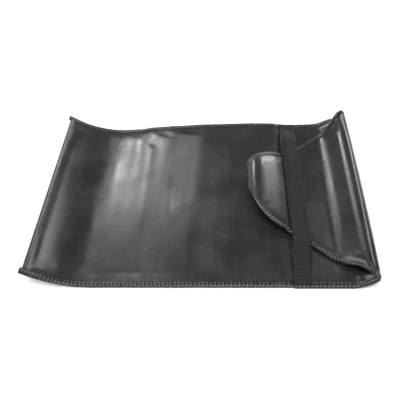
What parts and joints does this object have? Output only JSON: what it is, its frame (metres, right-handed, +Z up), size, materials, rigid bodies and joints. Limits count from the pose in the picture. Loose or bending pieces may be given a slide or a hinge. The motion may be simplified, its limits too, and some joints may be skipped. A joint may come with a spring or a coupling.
{
  "type": "trainer belly pad",
  "caption": "Padded leather body wrap with bound edges, and a closure flap that folds back under a webbing keeper as a tapered tongue with a raised tab.",
  "frame": {"origin": "centre of the footprint, on the surface that the pad lies on", "axes": "+X along the wrap towards the folded closure, +Y across it, +Z up"},
  "size_m": [0.4777, 0.3424, 0.0525],
  "materials": {
    "leather": "smooth, semi-gloss black",
    "foam": "closed-cell foam sheet",
    "webbing": "ribbed black webbing",
    "binding_tape": "glossy black folded tape"
  },
  "bodies": {
    "pad": {"centre_outer_leather": "leather", "centre_foam_core": "foam", "centre_inner_leather": "leather", "centre_near_binding": "binding_tape", "centre_far_binding": "binding_tape", "keeper_webbing": "webbing", "closure_base_outer_leather": "leather", "closure_base_foam_core": "foam", "closure_base_inner_leather": "leather", "closure_base_binding": "binding_tape", "closure_rise_outer_leather": "leather", "closure_rise_foam_core": "foam", "closure_rise_inner_leather": "leather", "closure_rise_binding": "binding_tape"},
    "left_wing": {"left_wing_outer_leather": "leather", "left_wing_foam_core": "foam", "left_wing_inner_leather": "leather", "left_wing_near_binding": "binding_tape", "left_wing_far_binding": "binding_tape", "left_end_hem": "leather"},
    "nose": {"nose_outer_leather": "leather", "nose_foam_core": "foam", "nose_inner_leather": "leather", "nose_binding": "binding_tape", "tongue_slope_outer_leather": "leather", "tongue_slope_foam_core": "foam", "tongue_slope_inner_leather": "leather", "tongue_slope_binding": "binding_tape"},
    "tongue": {"tongue_outer_leather": "leather", "tongue_foam_core": "foam", "tongue_inner_leather": "leather", "tongue_binding": "binding_tape"},
    "tab": {"tab_outer_leather": "leather", "tab_foam_core": "foam", "tab_inner_leather": "leather", "tab_binding": "binding_tape"}
  },
  "joints": [
    {"name": "left_wing_flex", "type": "hinge", "parent": "pad", "child": "left_wing", "pos_m": [-0.14285, 0, 0.006], "axis": [0, 1, 0], "range_deg": [-6, 60], "stiffness_Nm_per_rad": 0.8, "springref_deg": 2.86},
    {"name": "nose_slide", "type": "slide", "parent": "pad", "child": "nose", "axis": [1, 0, 0], "range_m": [-0.012, 0], "deforming": ["closure_rise_outer_leather", "closure_rise_foam_core", "closure_rise_inner_leather", "closure_rise_binding"]},
    {"name": "tongue_slide", "type": "slide", "parent": "nose", "child": "tongue", "axis": [1, 0, 0], "range_m": [-0.012, 0], "deforming": ["tongue_slope_outer_leather", "tongue_slope_foam_core", "tongue_slope_inner_leather", "tongue_slope_binding"]},
    {"name": "tab_lift", "type": "hinge", "parent": "tongue", "child": "tab", "pos_m": [0.12413, 0, 0.01785], "axis": [0, 1, 0], "range_deg": [-20, 60], "stiffness_Nm_per_rad": 0.15, "springref_deg": 1.72}
  ],
  "couplings": [
    {"joint": "tongue_slide", "follows": "nose_slide", "ratio": 1}
  ]
}
